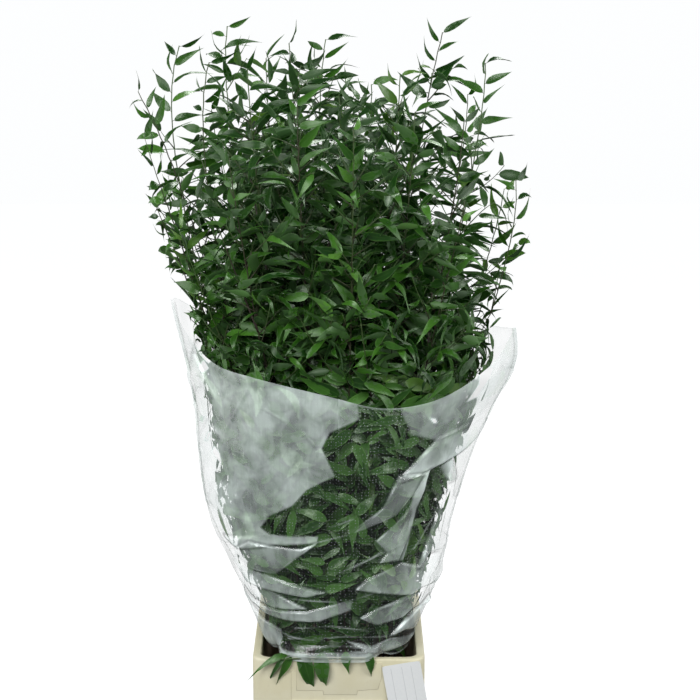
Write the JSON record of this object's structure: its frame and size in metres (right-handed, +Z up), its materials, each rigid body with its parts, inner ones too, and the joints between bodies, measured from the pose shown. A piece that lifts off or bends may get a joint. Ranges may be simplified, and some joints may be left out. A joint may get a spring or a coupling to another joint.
{
  "type": "bunch of alexandrian laurel branches",
  "caption": "Fresh alexandrian laurel branches with glossy pointed leaves, fanning out of an open clear film sleeve and standing in a rectangular cream plastic bucket",
  "frame": {"origin": "middle of the bucket's underside", "axes": "+Z up along the bunch, +X to the right and -Y to the front of the bucket, as in the picture"},
  "size_m": [0.5874, 0.4833, 1.1093],
  "materials": {
    "bucket": "moulded cream polypropylene, slightly scuffed",
    "film": "thin clear crinkled film",
    "foliage": "glossy dark green leaves on thin green stems",
    "label": "blank white paper"
  },
  "bodies": {
    "root": {"bucket": "bucket", "sleeve": "film", "branch_01": "foliage", "branch_02": "foliage", "branch_03": "foliage", "branch_04": "foliage", "branch_05": "foliage", "branch_06": "foliage", "branch_07": "foliage", "branch_08": "foliage", "branch_09": "foliage", "branch_10": "foliage", "branch_11": "foliage", "branch_12": "foliage", "branch_13": "foliage", "branch_14": "foliage", "branch_15": "foliage", "branch_16": "foliage", "branch_17": "foliage", "branch_18": "foliage", "branch_19": "foliage", "branch_20": "foliage", "branch_21": "foliage", "branch_22": "foliage", "branch_23": "foliage", "branch_24": "foliage", "branch_25": "foliage", "branch_26": "foliage", "branch_27": "foliage", "branch_28": "foliage", "low_sprig": "foliage", "label": "label"}
  },
  "joints": []
}
